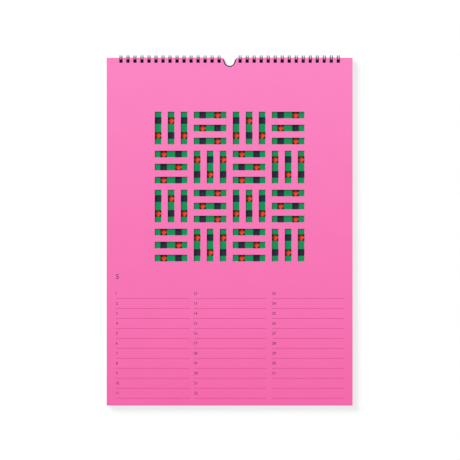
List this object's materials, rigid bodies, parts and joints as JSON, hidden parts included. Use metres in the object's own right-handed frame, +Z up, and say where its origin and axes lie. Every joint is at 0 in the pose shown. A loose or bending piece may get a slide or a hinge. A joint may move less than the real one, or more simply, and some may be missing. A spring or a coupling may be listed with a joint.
{
  "type": "birthday calendar",
  "caption": "Hanging birthday calendar with die-cut month leaves on twin-loop wire combs and a wire hanger.",
  "frame": {"origin": "seat of the nail: the lowest inner point of the hanger's bend", "axes": "+Z up along the leaves' height, +X to the right seen from the front, +Y to the back; the leaves face -Y"},
  "size_m": [0.297, 0.0093, 0.4233],
  "materials": {
    "front_paper": "matt",
    "second_paper": "matt",
    "third_paper": "matt",
    "fourth_paper": "matt",
    "later_paper": "matt",
    "turned_paper": "matt",
    "comb_wire": "gloss",
    "hanger_wire": "gloss"
  },
  "bodies": {
    "calendar": {"second_leaf": "second_paper", "third_leaf": "third_paper", "fourth_leaf": "fourth_paper", "later_leaves": "later_paper", "turned_leaves": "turned_paper", "wire_comb_left": "comb_wire", "wire_comb_right": "comb_wire"},
    "front_leaf": {"front_leaf": "front_paper"},
    "hanger": {"hanger": "hanger_wire"}
  },
  "joints": [
    {"name": "front_leaf_turn", "type": "hinge", "parent": "calendar", "child": "front_leaf", "pos_m": [0, -0.00326, 0.00951], "axis": [-1, 0, 0], "range_deg": [0, 180]},
    {"name": "hanger_swing", "type": "hinge", "parent": "calendar", "child": "hanger", "pos_m": [0, 0, 0.00895], "axis": [1, 0, 0], "range_deg": [0, 180]}
  ]
}
